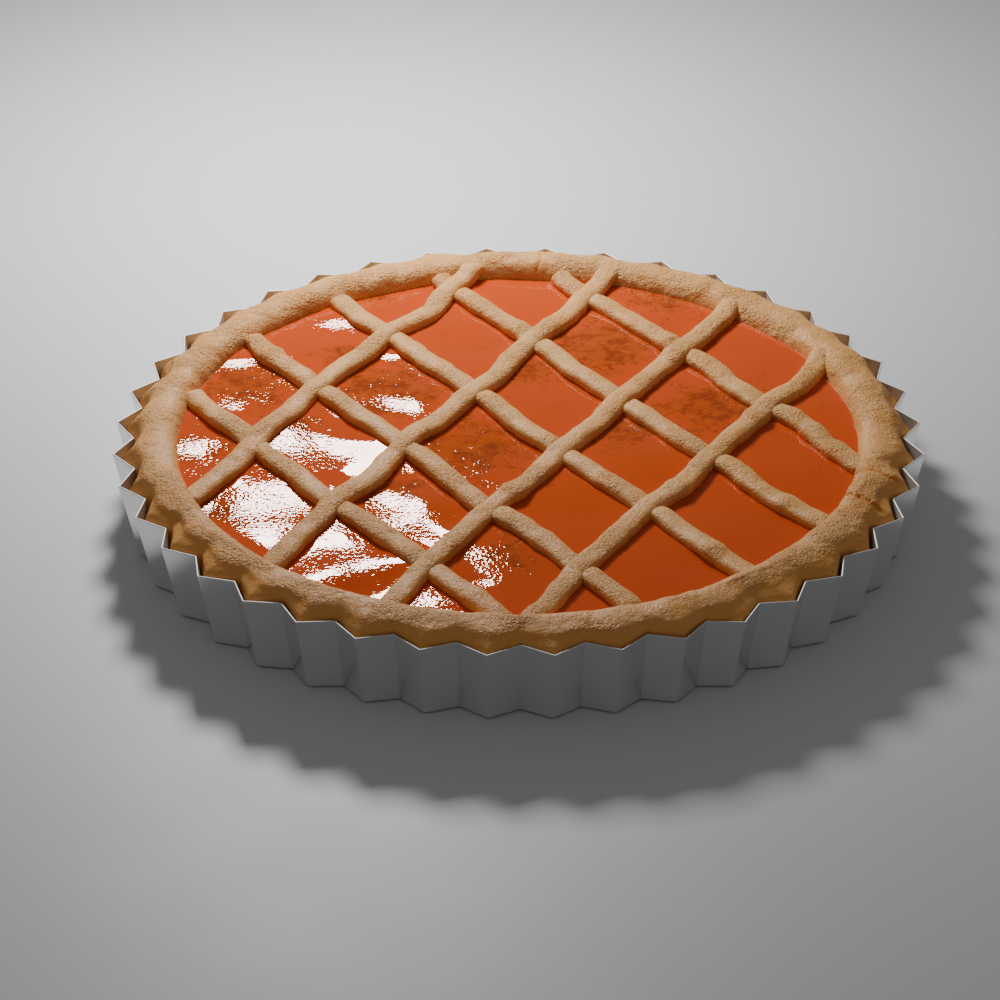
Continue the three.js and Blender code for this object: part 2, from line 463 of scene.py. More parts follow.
def is_rim_corner(edge):
    """A top edge of the sheet: level, and with the narrow rim face on one side."""
    level = all(abs(v.co.z / MM - TIN_HEIGHT) < 0.05 for v in edge.verts)
    upward = [face.normal.z > 0.9 for face in edge.link_faces]
    return level and len(upward) == 2 and upward[0] != upward[1]


edit(tin)
pick(tin, is_rim_corner, "EDGE")
bpy.ops.mesh.bevel(offset=RIM_EASE * MM, segments=3, affect="EDGES")
leave_edit()
smooth(tin, 60)
apply_modifier(tin, "WEIGHTED_NORMAL", keep_sharp=True, weight=80)
report(tin)

# %% [markdown]
# The metal is plain tinned sheet: a grey mirror that is blurred by a fine rolled grain. Nothing
# in it is painted light or dark. What shows in the facets is the floor and the room. The inside
# has gone dull from baking, so it is a second material with a wider blur and less of a mirror.
# The cut edge at the top is rough but still bright, and is a third.

# %% Tin material
GREY_STAINS = 9.0
ROLLING_LINES = {"scale": 2500.0, "stretch": (1, 1, 0.06), "depth": 0.0015}
GLOSS_CHANGE = 0.01


def sheet_metal(name, dark, light, blur, metallic):
    """Sheet with a cloudy tone, a cloudy gloss and a fine grain along the wall."""
    metal, shader = new_material(name, Metallic=metallic)
    stains = noise(metal, GREY_STAINS, detail=3.0)
    stretched = add(metal, "Mapping", Vector=object_place(metal), Scale=ROLLING_LINES["stretch"])
    grain = add(metal, "TexNoise", Vector=stretched, Scale=ROLLING_LINES["scale"], Detail=2.0)
    tone = blend(metal, between(metal, stains, 0.3, 0.7), (dark, dark, dark, 1), (light, light, light, 1))
    fill(metal, shader.inputs["Base Color"], tone)
    gloss = calc(metal, "ADD", between(metal, stains, 0.3, 0.7, blur - GLOSS_CHANGE, blur + GLOSS_CHANGE),
                 between(metal, grain, 0.2, 0.8, -GLOSS_CHANGE, GLOSS_CHANGE))
    fill(metal, shader.inputs["Roughness"], gloss)
    fill(metal, shader.inputs["Normal"], bump(metal, grain, ROLLING_LINES["depth"], strength=0.5))
    return metal


tin.data.materials.append(sheet_metal("rolled_sheet_metal", 0.84, 0.86, 0.2, 1.0))
tin.data.materials.append(sheet_metal("dull_sheet_inside", 0.50, 0.56, 0.55, 0.45))
tin.data.materials.append(sheet_metal("cut_edge", 0.76, 0.80, 0.5, 0.5))


def is_inside(face):
    """A wall face that looks at the tart's middle."""
    centre = face.calc_center_median()
    return centre.z > SHEET * MM and centre.xy.dot(face.normal.xy) < -0.2 * centre.xy.length


def is_cut_edge(face):
    return face.calc_center_median().z > (TIN_HEIGHT - RIM_EASE) * MM


edit(tin)
for material_index, wanted in ((1, is_inside), (2, is_cut_edge)):
    pick(tin, wanted, "FACE")
    tin.active_material_index = material_index
    bpy.ops.object.material_slot_assign()
leave_edit()
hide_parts("tart_tin")
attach(tin, "root")

# %% [markdown]
# ## The pastry shell
# The dough lines the tin and is rolled over at the rim, so it keeps the flutes where it touches
# the metal and loses them where fingers rounded it. One fluted ring does both: its rows follow
# the wall, leave it, fold over a round roll whose tips and valleys come together, and go down
# inside to the floor under the jam. A control ring this coarse is easy to shape, and Subdivision
# Surface turns it into a soft, fine mesh at the end.

# %% Rows of the shell
FLOOR_LEVEL = 9.0
GAP = 0.35
CONTACT_LEVEL = 20.0  # the dough fills the flutes up to here
ROLL_OUTSIDE = [  # (radius, height) at a flute's tip and at a flute's valley
    ((137.6, 21.6), (131.1, 21.6)),
    ((137.0, 24.3), (131.6, 24.3)),
    ((135.9, 26.8), (132.0, 26.8)),
    ((134.6, 28.9), (132.3, 28.7)),
    ((133.3, 30.6), (132.1, 30.3)),
    ((131.8, 32.1), (131.0, 31.7)),
    ((128.5, 33.0), (128.2, 32.8)),
]
ROLL_INSIDE = [(124.9, 33.6), (121.4, 33.5), (118.7, 32.2), (117.7, 29.6), (117.2, 26.6)]
HOLLOW_WALL = [(113.6, 11.5), (109.8, FLOOR_LEVEL)]

inside_tin = SHEET + GAP
shell_rows = [corner_row(0, TIN_ROUND, inside_tin), wall_row(TIN_ROUND, inside_tin)]
shell_rows += [wall_row(CONTACT_LEVEL, inside_tin)] + ROLL_OUTSIDE
shell_rows += [(point, point) for point in ROLL_INSIDE + HOLLOW_WALL]
crust = grow_ring("pastry_shell_baked", shell_rows)
print("shell rows:", len(shell_rows))

# %% [markdown]
# Each facet is cut in four across, and the folds get a partial crease that fades out up the
# roll. The crease keeps the ridges crisp where the dough was pressed into the tin.

# %% Facets and creases
FACET_CUTS = 3
FOLD_CREASE = 0.5
CREASE_TOP = 31.0


def is_low_fold(edge):
    return is_fold(edge) and max(v.co.z for v in edge.verts) < CREASE_TOP * MM


pick(crust, is_low_fold, "EDGE")
bpy.ops.transform.edge_crease(value=FOLD_CREASE)
pick(crust, lambda edge: not is_fold(edge), "EDGE")
bpy.ops.mesh.subdivide(number_cuts=FACET_CUTS)
leave_edit()
report(crust)

# %% [markdown]
# No two hands' widths of a rolled rim are alike. Short lists, read round the tart from the front,
# say how far the roll drifts outwards, how much it rises, how deep the hollows between the flutes
# go on up the roll, and how full the flutes' tips are. At the back the roll meets the jam in a
# gentler slope, and one more list says how much of that slope there is. All of it fades out
# towards the tin's edge outside and the floor inside, so the dough still sits in the tin.

# %% Uneven rim
RIM_DRIFT = [1.0, 1.0, -0.8, -0.2, -0.6, 0.2, -0.6, -0.4, -0.4, -1.8, 0, -0.5, 0.2, 0.4, 0.6, 1.0]
RIM_RISE = [0, 0.4, -0.3, 0.2, -0.2, 0.3, 0.1, -0.3, 0.2, 0.4, -0.2, 0.3, -0.3, 0.1, -0.4, 0.2]
HOLLOWS = [0, 0.2, 0.6, 0.9, 1.2, 1.0, 0.6, 0.3, 0.3, 0.6, 1.0, 1.6, 2.0, 1.9, 1.5, 0.6]
FULL_TIPS = [3.4, 3.0, 2.2, 0.8, -0.4, -0.4, 0, 0, 0, 0, 0, -0.3, -0.5, 0.6, 1.8, 3.0]
HOLLOW_HEIGHTS = (20, 26, 30, 33.5)  # no hollow, full depth, full depth, no hollow
FILL_HEIGHTS = (21.6, 28.9)  # between these the tips grow evenly to their full size
BACK_SLOPE = [(0, 0), (0, -0.7), (0.5, -1.0), (0.3, -0.1), (-0.3, 0.4)]  # ROLL_INSIDE's (out, up)
BACK_SHARE = [0, 0, 0, 0, 0.4, 0.8, 1, 1, 1, 1, 1, 0.8, 0.4, 0, 0, 0]
DRIFT_HEIGHTS = {"inside": (9, 28), "outside": (29.5, 32.5)}  # no drift, full drift
RISE_HEIGHTS = (28, 31.5)
CREST_RADIUS = 124.9
CREST_TOLERANCE = 0.1
ROW_TOLERANCE = 0.3


def around(values, turn):
    """Reads equally spaced values round the tart, easing from one to the next. turn is 0 to 1."""
    values = np.asarray(values, dtype=float)
    station = turn * len(values)
    low = np.floor(station).astype(int) % len(values)
    share = rise(station - np.floor(station), 0, 1)
    return values[low] * (1 - share) + values[(low + 1) % len(values)] * share


def turn_of(spots):
    """How far round the tart points are, from the front anticlockwise, 0 to 1."""
    return (np.arctan2(spots[:, 0], -spots[:, 1]) / (2 * np.pi)) % 1


def pushed_out(spots, amount):
    """The same points, moved away from the axis."""
    radius = np.hypot(spots[:, 0], spots[:, 1])
    moved = spots.copy()
    moved[:, :2] *= (1 + amount / np.maximum(radius, 1))[:, None]
    return moved


# %% The gentler slope at the back
spots = places(crust)
turn = turn_of(spots)
radius = np.hypot(spots[:, 0], spots[:, 1])
past_crest = radius < CREST_RADIUS + CREST_TOLERANCE
gentler = spots.copy()
for (row_radius, row_height), (out, up) in zip(ROLL_INSIDE, BACK_SLOPE):
    at_radius = np.abs(radius - row_radius) < ROW_TOLERANCE
    at_height = np.abs(spots[:, 2] - row_height) < ROW_TOLERANCE
    share = around(BACK_SHARE, turn) * (at_radius & at_height)
    gentler = pushed_out(gentler, out * share)
    gentler[:, 2] += up * share
spots = gentler
print("vertices past the crest:", int(past_crest.sum()))

# %% Drift, rise, hollows and full tips
drift_share = np.where(past_crest, rise(spots[:, 2], *DRIFT_HEIGHTS["inside"]),
                       rise(spots[:, 2], *DRIFT_HEIGHTS["outside"]))
rise_share = np.where(past_crest, rise(spots[:, 2], *RISE_HEIGHTS), drift_share)
spots = pushed_out(spots, drift_share * around(RIM_DRIFT, turn))
spots[:, 2] += rise_share * around(RIM_RISE, turn)
low, full, fading, gone = HOLLOW_HEIGHTS
hollow_share = rise(spots[:, 2], low, full) * rise(spots[:, 2], gone, fading) * ~past_crest
valley_share = np.abs(1 - (turn * COLUMNS) % 2)  # 1 in a valley, 0 at a tip
fill_start, fill_end = FILL_HEIGHTS
fill_share = np.clip((spots[:, 2] - fill_start) / (fill_end - fill_start), 0, 1)
fill_share *= rise(spots[:, 2], gone, fading) * ~past_crest
spots = pushed_out(spots, fill_share * (1 - valley_share) * around(FULL_TIPS, turn))
spots = pushed_out(spots, -hollow_share * valley_share * around(HOLLOWS, turn))
move_to(crust, spots)
apply_modifier(crust, "SUBSURF", levels=2, render_levels=2)
edit(crust)
close_end(crust, shell_rows[0][0][0], shell_rows[0][0][1])
close_end(crust, HOLLOW_WALL[-1][0], FLOOR_LEVEL)
bpy.ops.mesh.select_all(action="SELECT")
bpy.ops.mesh.normals_make_consistent(inside=False)
leave_edit()
report(crust)

# %% [markdown]
# Hand marks and oven marks come next: soft lumps all over the roll, a finer unevenness, single
# creases where the rolled dough was joined or pinched, and necks and bulges where the roll is
# thinner or thicker. Displace modifiers with a cloud texture make the lumps. The other marks are
# placed one by one. At the end the dough is held inside the tin, as the real wall holds it.

# %% Marks on the roll
# Each mark is (degrees from +X anticlockwise, half width, depth or height), lengths in mm.
ROLL_CREASES = [(-14.0, 1.1, 0.6), (-22.5, 1.2, 0.7), (86.0, 0.5, 0.5)]
ROLL_NECKS = [(-10.5, 3.5, 2.0), (-21.0, 10.0, 2.8), (-53.0, 20.0, 3.1), (-90.0, 32.0, 2.3),
              (160.0, 6.0, 0.5), (208.0, 15.0, 2.6), (224.0, 24.0, 2.3), (241.0, 16.0, 1.4)]
ROLL_BULGES = [(2.5, 9.0, 0.9), (24.0, 5.0, 0.7), (104.0, 6.0, 1.1), (58.0, 10.0, 0.5),
               (188.0, 6.0, 0.6), (-68.0, 8.0, 0.5)]
CREASE_WANDER = {"sway": 0.5, "pitch": 0.7, "lean": 0.12}
ROLL_LUMPS = [(17, 1.3), (6, 0.9), (2.4, 0.35)]  # (size, height)
SHOWN = {"heights": (21, 25), "radius": 116}  # the lumps come only where the shell is seen
MARK_HEIGHTS = (28.5, 31)  # no marks below, full marks above
OUTER_RADII = (121, 127)  # necks and bulges grow from nothing to full size between these


def arc_from(spots, degrees):
    """Distance round the rim from one angle, in millimetres at the crest."""
    angle = np.arctan2(spots[:, 1], spots[:, 0]) - math.radians(degrees)
    return (angle + np.pi) % (2 * np.pi) * CREST_RADIUS - np.pi * CREST_RADIUS


def crease_wander(spots, degrees):
    """A crease doesn't run straight over the roll: its side step in millimetres."""
    radius = np.hypot(spots[:, 0], spots[:, 1])
    sway = CREASE_WANDER["sway"] * np.sin(radius * CREASE_WANDER["pitch"] + degrees)
    return sway + CREASE_WANDER["lean"] * (radius - CREST_RADIUS)


def crease_share(spots, degrees, half_width):
    """1 in the middle of a crease, 0 beside it."""
    return hump(arc_from(spots, degrees) + crease_wander(spots, degrees), half_width)


def wall_limit(spots, depth):
    """How far out the tin lets the dough go at each point. Above the tin the limit opens up."""
    height = np.minimum(spots[:, 2], TIN_HEIGHT)
    (tip_radius, _), (valley_radius, _) = wall_row(height, depth)
    valley = np.abs(1 - (turn_of(spots) * COLUMNS) % 2)
    return tip_radius + (valley_radius - tip_radius) * valley + spots[:, 2] - height


# %% Lumps, creases, necks and bulges
spots = places(crust)
shows = rise(spots[:, 2], *SHOWN["heights"]) * (np.hypot(spots[:, 0], spots[:, 1]) > SHOWN["radius"])
for size, height in ROLL_LUMPS:
    relief(crust, size, height, shows)
spots = places(crust)
directions = normals(crust)
on_roll = rise(spots[:, 2], *MARK_HEIGHTS)
for degrees, half_width, depth in ROLL_CREASES:
    dip = depth * crease_share(spots, degrees, half_width) * on_roll
    spots -= directions * dip[:, None]
for sign, marks in ((-1, ROLL_NECKS), (1, ROLL_BULGES)):
    for degrees, half_width, amount in marks:
        outer = rise(np.hypot(spots[:, 0], spots[:, 1]), *OUTER_RADII)
        share = hump(arc_from(spots, degrees), half_width) * outer * on_roll
        spots = pushed_out(spots, sign * amount * share)
too_far = np.hypot(spots[:, 0], spots[:, 1]) - wall_limit(spots, inside_tin)
spots = pushed_out(spots, -np.maximum(too_far, 0))
move_to(crust, spots)
smooth(crust)
report(crust)

# %% [markdown]
# ## The lattice lines
# Nine strips lie on the jam in two layers that cross. Each line was laid by hand between two
# points of the rim, so it is straight in the large and sways by a few millimetres in the small.
# A line is kept as its two ends, as angles on the rim, and a list of side steps at equal
# stations. They come from points that were read off the picture, then smoothed and resampled by
# a program.

# %% Lines
STRIP_END_RADIUS = 119
LINE_STEP = 0.5
TOP_LINES = [
    {"ends": [-159.6, 98.2], "sway": [-0.8, 0, 2.5, 2.4, 3.8, 3.2, 2.5, 2.1, -2.1, 0.1]},
    {"ends": [-134.1, 74.3], "sway": [1.2, 1.8, 3.0, 0.4, 1.9, 2.7, -0.1, 0.2, -1.6, 0.1, 0.1, -1.4, -0.2]},
    {"ends": [-111.3, 49.8], "sway": [1.8, 2.8, 2.8, 3.4, 2.3, 1.3, 2.4, 1.0, 1.6, 1.6, 0.7, 1.0, 0.1]},
    {"ends": [-88.6, 26.4], "sway": [0.2, 2.4, 2.1, 2.4, 1.9, -0.4, 0.5, 0.5, 0.3, 0.6, -2.1]},
]
UNDER_LINES = [
    {"ends": [165.6, -92.7], "sway": [-0.5, 0.1, -1.8, -1.3, -2.5, -0.5, -0.2, 0.6, -0.3, 0.7]},
    {"ends": [143.5, -71.9], "sway": [-1.6, -0.8, -0.4, -0.1, 1.0, 1.2, 0.2, -0.8, 1.5, 2.0, 1.6, 1.6]},
    {"ends": [123.3, -50.3],
     "sway": [-1.7, 0.1, -0.7, -0.2, 0.2, -0.6, -1.8, -0.5, -1.3, -0.1, 0.2, -0.1, -0.4]},
    {"ends": [104.2, -30.0],
     "sway": [-0.4, -0.8, -0.2, -0.5, -2.7, -2.1, -2.4, -2.8, -2.8, -0.7, -2.7, -2.2]},
    {"ends": [82.9, -10.1], "sway": [-1.7, -0.2, 0.2, 1.6, 1.8, -0.1, 0.8, 2.6, 0]},
]


def through(values, station):
    """A smooth curve through equally spaced values."""
    values = np.asarray(values, dtype=float)
    slopes = np.gradient(values)
    low = np.clip(np.floor(station).astype(int), 0, len(values) - 2)
    t = station - low
    rising = t * t * (3 - 2 * t)
    start_pull = t * (1 - t) ** 2
    end_pull = t * t * (t - 1)
    level = values[low] * (1 - rising) + values[low + 1] * rising
    return level + slopes[low] * start_pull + slopes[low + 1] * end_pull


def line_ends(line):
    angles = np.radians(line["ends"])
    return STRIP_END_RADIUS * np.stack([np.cos(angles), np.sin(angles)], axis=1)


def line_length(line):
    start, finish = line_ends(line)
    return float(np.linalg.norm(finish - start))


def line_points(line, distance):
    """Points on a line at distances along it. Below 0 and past its length it runs on straight."""
    start, finish = line_ends(line)
    along = (finish - start) / line_length(line)
    across = np.array([-along[1], along[0]])
    offsets = [0, *line["sway"], 0]
    station = np.clip(distance / line_length(line), 0, 1) * (len(offsets) - 1)
    return start + np.outer(distance, along) + np.outer(through(offsets, station), across)


def line_sides(line, distance):
    """The direction square to a line, to its left, at distances along it."""
    ahead = line_points(line, distance + LINE_STEP) - line_points(line, distance - LINE_STEP)
    ahead /= np.linalg.norm(ahead, axis=1)[:, None]
    return np.stack([-ahead[:, 1], ahead[:, 0]], axis=1)


# %% Crossings
NEAR = 1.5  # two lines that come this close cross there


def crossings(line, others):
    """Distances along a line at which other lines cross it."""
    steps = np.arange(0, line_length(line), LINE_STEP)
    here = line_points(line, steps)
    found = []
    for other in others:
        there = line_points(other, np.arange(0, line_length(other), LINE_STEP))
        gaps = np.linalg.norm(here[:, None] - there[None], axis=2)
        nearest = np.unravel_index(gaps.argmin(), gaps.shape)
        if gaps[nearest] < NEAR:
            found.append(float(steps[nearest[0]]))
    return found


print("crossings:", sum(len(crossings(line, UNDER_LINES)) for line in TOP_LINES))

# %% [markdown]
# ## The strips
# A strip starts as a straight roll of dough on the board: a long cylinder whose ends are rounded
# by a bevel and whose length is cut into short steps. It is then pressed flatter, made a little
# uneven, and laid along its line. Laying it is a vertex move: the length of the roll becomes the
# distance along the line, its width goes sideways, and its height is added to whatever lies
# under it. The front ends run straight into the foot of the rim. The back ends climb on it, so
# the rim's height is measured along the line by ray casts and smoothed, as stiff dough would.

# %% Drape helpers
JAM_LEVEL = 27.8
DRAPE_STEP = 0.5
DRAPE_MARGIN = 15  # how far past the line's ends the rim is measured
DRAPE_STIFFNESS = 9  # how many steps on each side the dough bridges
RAY_START = 100  # a height above the whole tart
WANDER = {"draws": 60, "spread": 0.5, "lead": 20}


def rim_height(line, distance):
    """Height of the rim above the jam along a line, smoothed as dough drapes over it."""
    along = np.arange(-DRAPE_MARGIN, line_length(line) + DRAPE_MARGIN, DRAPE_STEP)
    climb = np.zeros(len(along))
    for i, (x, y) in enumerate(line_points(line, along)):
        hit, place, _, _ = crust.ray_cast(Vector((x, y, RAY_START)) * MM, Vector((0, 0, -1)))
        if hit:
            climb[i] = max(0, place.z / MM - JAM_LEVEL)
    weights = np.hanning(2 * DRAPE_STIFFNESS + 1)
    return np.interp(distance, along, np.convolve(climb, weights / weights.sum(), mode="same"))


def unevenness(distance, seed, spacing):
    """A smooth wandering value around 0, mostly within 1, that changes over spacing mm."""
    draws = np.random.default_rng(seed).normal(0, WANDER["spread"], WANDER["draws"])
    return through(draws, (np.asarray(distance) + WANDER["lead"]) / spacing)


# %% A strip
DOUGH = {"width": 8.4, "sunk": 1.5, "height": 3.5}
DOUGH_SQUARENESS = 2.6  # 2 is a round roll, more is squarer
DOUGH_SIDES = 40
DOUGH_LUMPS = [(6, 0.9), (2.2, 0.45)]  # (size, height)
END_ROUND = 1.6
STEP = 0.75


def dough_roll(name, length, width):
    """A straight round roll along X from 0 to length, with rounded ends, in short steps."""
    bpy.ops.object.select_all(action="DESELECT")
    bpy.ops.mesh.primitive_cylinder_add(vertices=DOUGH_SIDES, radius=width / 2 * MM, depth=length * MM,
                                        location=(length / 2 * MM, 0, 0), rotation=(0, math.pi / 2, 0))
    roll = bpy.context.object
    roll.name = name
    bpy.ops.object.transform_apply(location=True, rotation=True, scale=True)
    edit(roll)
    pick(roll, lambda edge: abs(edge.verts[0].co.x - edge.verts[1].co.x) < MM, "EDGE")
    bpy.ops.mesh.bevel(offset=END_ROUND * MM, segments=4, affect="EDGES")
    pick(roll, lambda edge: abs(edge.verts[0].co.x - edge.verts[1].co.x) > 10 * MM, "EDGE")
    bpy.ops.mesh.subdivide(number_cuts=int(length / STEP))
    leave_edit()
    return roll


def squared(side, up):
    """Turns a round section into a squarer one with the same width and height."""
    radius = np.maximum(np.hypot(side, up), 1e-6)
    corner = (np.abs(side / radius) ** DOUGH_SQUARENESS + np.abs(up / radius) ** DOUGH_SQUARENESS)
    stretch = corner ** (-1 / DOUGH_SQUARENESS)
    return side * stretch, up * stretch


# %% Laying a strip
EDGE_WANDER = 0.11  # share of the half width
TOP_WANDER = 0.12  # share of the height
WANDER_SPACING = {"left": 7, "right": 8, "top": 8}
LUMP = {"length": 3.2, "height": 0.7, "widening": 0.12}
BURIAL_LENGTH = 8


def lay_strip(name, line, reach, climb, buried, humps, lumps, seed):
    """Makes one strip and lays it on its line.

    reach: how far it runs on past the line's two ends. climb: how much of the rim's height it
    follows at each end. buried: how deep its last end is worked into the rim. humps: (distance,
    half width, height) along it. lumps: distances of thicker, wider places.
    """
    length = line_length(line) + sum(reach)
    strip = dough_roll(name, length, DOUGH["width"])
    spots = places(strip)
    distance = spots[:, 0] - reach[0]
    half = DOUGH["width"] / 2
    side, up = squared(spots[:, 1] / half, spots[:, 2] / half)
    left_edge = half * (1 + EDGE_WANDER * unevenness(distance, seed, WANDER_SPACING["left"]))
    right_edge = half * (1 + EDGE_WANDER * unevenness(distance, seed + 1, WANDER_SPACING["right"]))
    sideways = side * np.where(side > 0, left_edge, right_edge)
    top = DOUGH["height"] * (1 + TOP_WANDER * unevenness(distance, seed + 2, WANDER_SPACING["top"]))
    for place, half_width, height in humps:
        top += height * hump(distance - place, half_width)
    for place in lumps:
        top += LUMP["height"] * hump(distance - place, LUMP["length"])
        sideways *= 1 + LUMP["widening"] * hump(distance - place, LUMP["length"])
    middle = line_points(line, distance)
    laid = middle + line_sides(line, distance) * sideways[:, None]
    is_second_half = distance > line_length(line) / 2
    ground = JAM_LEVEL + rim_height(line, distance) * np.where(is_second_half, climb[1], climb[0])
    tip = line_length(line) + reach[1]
    ground -= buried * rise(distance, tip - BURIAL_LENGTH, tip)
    full = top + DOUGH["sunk"]
    heights = ground - DOUGH["sunk"] + full * (up + 1) / 2
    move_to(strip, np.column_stack([laid, heights]))
    for size, height in DOUGH_LUMPS:
        relief(strip, size, height)
    smooth(strip)
    return strip


# %% Lay the two layers
UNDER_DIP = 1.3  # how far the under layer is pressed down at a crossing
OVER_RISE = 0.25
CROSSING_HALF_WIDTH = 4.5
LAYER_SEEDS = {"top": 0, "under": 50}
STRIP_ENDS = {"top": {"reach": (1.5, 4.0), "climb": (0.0, 1.0), "buried": 3.6},
              "under": {"reach": (-1.8, 1.5), "climb": (0.35, 0.0), "buried": 0}}
LUMP_PLACES = {  # (x, y)
    "top_2": [(-60, -30), (10, 80)],
    "top_3": [(-12, -30), (48, 62)],
    "top_4": [(54, -36), (84, 12)],
    "under_1": [(-45, -68), (-15, -105)],
    "under_2": [(-92, 54), (22, -58)],
    "under_3": [(-38, 60), (62, -78)],
    "under_4": [(-6, 72), (90, -45)],
    "under_5": [(53, 67), (98, 2), (108, -10)],
}


def nearest_on(line, place):
    """Distance along a line of its nearest point to a place."""
    along = np.arange(0, line_length(line), LINE_STEP)
    return float(along[np.linalg.norm(line_points(line, along) - place, axis=1).argmin()])


strips = []
for layer, lines, others, shift in (("top", TOP_LINES, UNDER_LINES, OVER_RISE),
                                    ("under", UNDER_LINES, TOP_LINES, -UNDER_DIP)):
    for number, line in enumerate(lines, start=1):
        marks = [(place, CROSSING_HALF_WIDTH, shift) for place in crossings(line, others)]
        lumps = [nearest_on(line, place) for place in LUMP_PLACES.get(f"{layer}_{number}", [])]
        seed = 100 * number + LAYER_SEEDS[layer]
        strip = lay_strip(f"strip_{layer}_{number}", line, humps=marks, lumps=lumps, seed=seed,
                          **STRIP_ENDS[layer])
        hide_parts(f"lattice_{layer}_{number}")
        strips.append(strip)
        report(strip)

# %% [markdown]
# ## Pastry material
# Shortcrust is pale tan where it faced the open oven and browner at the side, where it was
# pressed into the hot tin. The creases of the roll are browner still. Both are matters of place,
# so they are stored on the mesh as two numbers for each vertex, and the material mixes in a
# cloudy pattern so that the change isn't a clean band. The surface is a fine crumb with small
# pits, rougher in some places than in others and smooth where the tin was. It is too fine for
# the mesh, so it is bump.

# %% Browning
BROWN_OUTSIDE = (33.2, 30.5)  # pale above, toasted below
BROWN_INSIDE = {"heights": (31.0, 28.2), "share": 0.1}
CREASE_LEVEL = 30  # creases are browned above this height
BROWN_STRIP = {"heights": (JAM_LEVEL + 1.6, JAM_LEVEL - 0.2), "share": 0.45}


def brown_of(spots):
    """How toasted the shell is: the outside of the roll, where it comes near the hot tin."""
    radius = np.hypot(spots[:, 0], spots[:, 1])
    outside = rise(spots[:, 2], *BROWN_OUTSIDE) * (radius > CREST_RADIUS)
    foot = rise(spots[:, 2], *BROWN_INSIDE["heights"]) * (radius <= CREST_RADIUS)
    return outside + BROWN_INSIDE["share"] * foot


def crease_of(spots):
    """The sugar that ran into the creases of the roll and browned there."""
    total = np.zeros(len(spots))
    for degrees, half_width, _ in ROLL_CREASES:
        total += crease_share(spots, degrees, half_width) * (spots[:, 2] > CREASE_LEVEL)
    return total


paint(crust, "brown", brown_of(places(crust)))
paint(crust, "crease", crease_of(places(crust)))
for strip in strips:
    heights = places(strip)[:, 2]
    paint(strip, "brown", BROWN_STRIP["share"] * rise(heights, *BROWN_STRIP["heights"]))
    paint(strip, "crease", np.zeros(len(heights)))
print("browned pieces:", 1 + len(strips))

# %% Pastry
PALE_CRUST = (0.90, 0.47, 0.165, 1)
TAN_CRUST = (0.89, 0.42, 0.125, 1)
TOASTED_CRUST = (0.94, 0.43, 0.115, 1)
CREASE_CRUST = (0.85, 0.28, 0.04, 1)

pastry, pastry_shader = new_material("baked_shortcrust", IOR=1.45, Specular_Tint=(1.0, 0.7, 0.54, 1))
pastry_shader.inputs["Subsurface Weight"].default_value = 0.3
pastry_shader.inputs["Subsurface Radius"].default_value = (1.0, 0.35, 0.12)
pastry_shader.inputs["Subsurface Scale"].default_value = 4.0 * MM
cloud = noise(pastry, grain=14.0, detail=3.0)
patch = noise(pastry, grain=3.0, detail=3.0)
crumbs = noise(pastry, grain=1.3, detail=2.5, roughness=0.6, distortion=1.0)
pits = add(pastry, "TexVoronoi", {"feature": "SMOOTH_F1"}, Vector=object_place(pastry), Scale=700.0,
           Smoothness=0.4)

# %% Colour of the pastry
tops = blend(pastry, between(pastry, cloud, 0.35, 0.65), TAN_CRUST, PALE_CRUST)
tops = blend(pastry, between(pastry, patch, 0.52, 0.75, 0, 0.35), tops, TOASTED_CRUST)
toasting = calc(pastry, "ADD", attribute(pastry, "brown"), between(pastry, cloud, 0.3, 0.7, -0.2, 0.2))
crumb = blend(pastry, between(pastry, toasting, 0.15, 0.95), tops, TOASTED_CRUST)
crumb = blend(pastry, between(pastry, attribute(pastry, "crease"), 0.1, 0.9), crumb, CREASE_CRUST)
fill(pastry, pastry_shader.inputs["Base Color"], crumb)

# %% Gloss and crumb of the pastry
PIT_DEPTH = 0.35
CRUMB_DEPTH = 1.0
SHEEN = (0.4, 0.54)  # roughness where the glaze is thick and thin

fill(pastry, pastry_shader.inputs["Roughness"], between(pastry, cloud, 0.3, 0.7, *SHEEN))
leathery = between(pastry, noise(pastry, grain=18.0), 0.4, 0.62, 0.35, 1.15)
free = between(pastry, attribute(pastry, "brown"), 0.2, 1.0, 1.0, 0.25)  # smooth where the tin was
leathery = calc(pastry, "MULTIPLY", leathery, free)
pitted = calc(pastry, "MULTIPLY", between(pastry, pits, 0.0, 0.45), leathery)
crumbly = calc(pastry, "MULTIPLY", crumbs, leathery)
relief_of_crumb = bump(pastry, crumbly, CRUMB_DEPTH, under=bump(pastry, pitted, PIT_DEPTH))
fill(pastry, pastry_shader.inputs["Normal"], relief_of_crumb)

for piece in [crust, *strips]:
    piece.data.materials.append(pastry)
    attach(piece, "root")
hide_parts("pastry_shell")

# %% [markdown]
# ## The jam
# Set jam fills the shell nearly to the rim. Its top isn't level: it sank in slow waves as it
# cooled, and it clings a little to whatever it touches. A grid gives even squares for the waves.
# It is trimmed to a disc that ends inside the pastry, so no edge shows. The waves are a seeded
# random net. In some places the skin also leans by up to some ten degrees, which turns the lamp's
# mirror image towards the viewer or away, and so decides where the jam shines. Last, the edge is
# extruded down to the pastry floor and closed, because the filling is a solid thing.

# %% Jam body
JAM_RADIUS = 119.2
JAM_FLOOR = FLOOR_LEVEL + 0.35
JAM_FOOT = 109.0
JAM_CELLS = 300
RAGGED_EDGE = 0.75  # vertices this many cells from the trimmed edge are put on the circle

